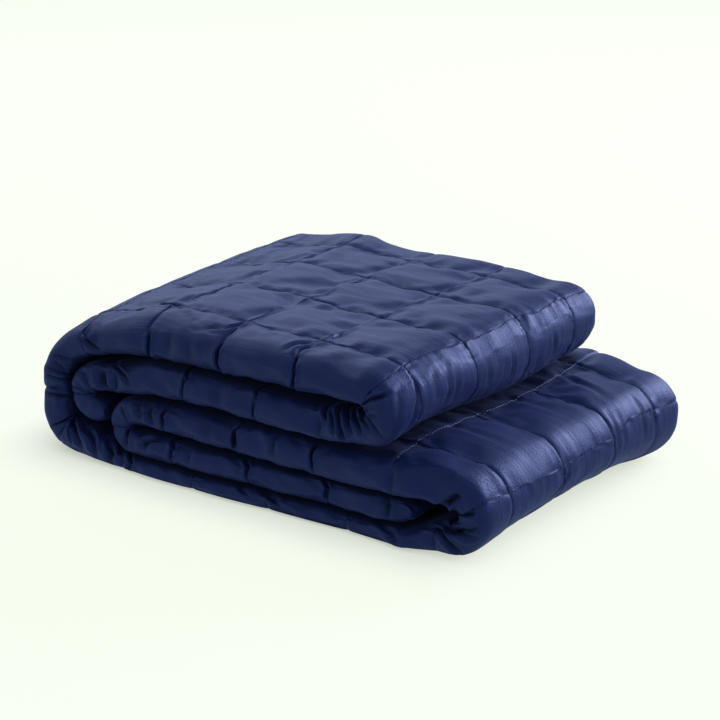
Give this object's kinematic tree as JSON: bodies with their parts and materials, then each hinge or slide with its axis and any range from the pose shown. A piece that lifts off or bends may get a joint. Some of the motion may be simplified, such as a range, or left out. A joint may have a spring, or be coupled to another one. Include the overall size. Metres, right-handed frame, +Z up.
{
  "type": "folded weighted blanket",
  "caption": "Thick quilted weighted blanket in navy sateen, folded into a low layered bundle.",
  "frame": {"origin": "middle of the bottom face, on the surface that the blanket lies on", "axes": "+X along the folded layers towards the side where the lower layers reach past the upper ones, +Y from the front folds to the back folds, +Z up"},
  "size_m": [0.454, 0.3226, 0.151],
  "materials": {
    "navy_cloth": "navy cotton sateen, quilted in squares with stitching in the same colour"
  },
  "bodies": {
    "root": {"blanket": "navy_cloth"}
  },
  "joints": []
}
